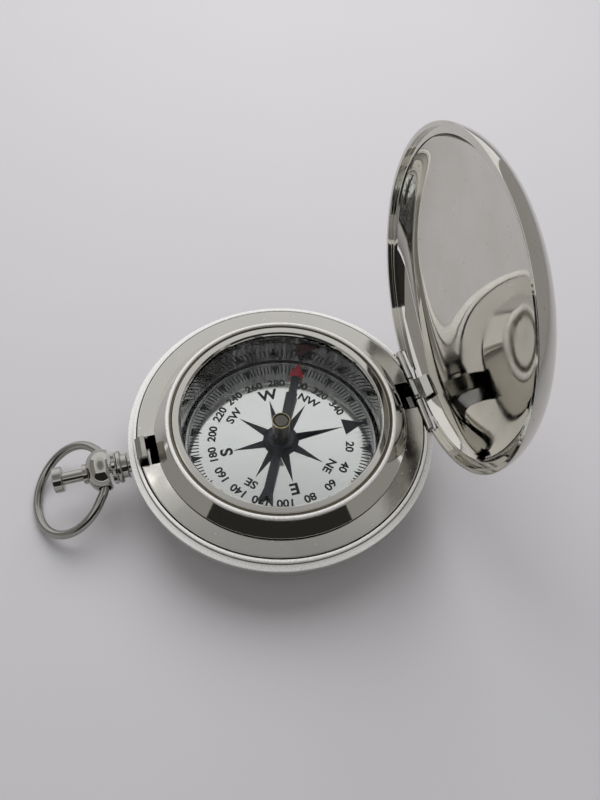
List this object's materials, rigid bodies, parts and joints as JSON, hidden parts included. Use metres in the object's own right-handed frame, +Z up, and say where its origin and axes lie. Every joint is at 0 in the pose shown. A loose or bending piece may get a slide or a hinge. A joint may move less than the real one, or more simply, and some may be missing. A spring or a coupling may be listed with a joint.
{
  "type": "pocket compass",
  "caption": "Nickel-plated pocket compass in a hunter case, standing open: round bowl, hinged domed lid, glazed dial with a turning needle, and a pendant with a push button and bow.",
  "frame": {"origin": "centre of the flat back that the case stands on", "axes": "+Z up through the dial, +X from the pendant to the lid's hinge"},
  "size_m": [0.0733, 0.05, 0.0601],
  "materials": {
    "polished_nickel": "polished nickel plate on brass",
    "ledge_nickel": "nickel plate with fine turning marks",
    "worn_nickel": "nickel plate, rubbed at the hinge",
    "clear_glass": "flat clear glass",
    "cup_metal": "dark mirror-like metal",
    "dial_print": "satin silver with black print",
    "needle_paint": "blue-black lacquer with a red head",
    "cap_brass": "turned brass",
    "dark_jewel": "dark bearing stone",
    "spring_steel": "drawn spring steel"
  },
  "bodies": {
    "case": {"case_bowl": "polished_nickel", "ledge_ring": "ledge_nickel", "bezel": "polished_nickel", "crystal": "clear_glass", "dial_cup": "cup_metal", "dial": "dial_print", "pivot_post": "spring_steel", "hinge_knuckle_far": "worn_nickel", "hinge_knuckle_near": "worn_nickel", "hinge_pin": "spring_steel", "lift_spring_screw": "spring_steel", "catch_spring_screw": "spring_steel", "pendant_neck": "polished_nickel", "pendant_ball": "polished_nickel"},
    "lid": {"lid": "polished_nickel", "lid_knuckle": "worn_nickel"},
    "needle": {"needle": "needle_paint", "needle_cap": "cap_brass", "needle_jewel": "dark_jewel"},
    "button": {"push_button": "polished_nickel", "button_clip": "spring_steel"},
    "catch": {"catch_spring": "worn_nickel"},
    "lift": {"lift_spring": "spring_steel"},
    "bow": {"bow_ring": "polished_nickel"}
  },
  "joints": [
    {"name": "lid_hinge", "type": "hinge", "parent": "case", "child": "lid", "pos_m": [0.0236, 0, 0.0115], "axis": [0, 1, 0], "range_deg": [-92.1, 0], "stiffness_Nm_per_rad": 0.004, "springref_deg": 22.92},
    {"name": "needle_spin", "type": "hinge", "parent": "case", "child": "needle", "pos_m": [0, 0, 0.0067], "axis": [0, 0, 1], "continuous": true},
    {"name": "button_push", "type": "slide", "parent": "case", "child": "button", "axis": [1, 0, 0], "range_m": [0, 0.001], "stiffness_N_per_m": 800, "springref_m": -0.0005},
    {"name": "catch_swing", "type": "hinge", "parent": "case", "child": "catch", "pos_m": [-0.01411, 0.01682, 0.0088], "axis": [0, 0, 1], "range_deg": [0, 3.42]},
    {"name": "lift_swing", "type": "hinge", "parent": "case", "child": "lift", "pos_m": [0.01411, -0.01682, 0.0088], "axis": [0.6428, -0.766, 0], "range_deg": [-2.81, 0]},
    {"name": "bow_swing", "type": "hinge", "parent": "case", "child": "bow", "pos_m": [-0.02955, 0, 0.0088], "axis": [0, 1, 0], "range_deg": [-96.7, 163.2]}
  ],
  "couplings": [
    {"joint": "catch_swing", "follows": "button_push", "rad_per_m": 59.471},
    {"joint": "lift_swing", "follows": "lid_hinge", "ratio": 0.0304}
  ]
}
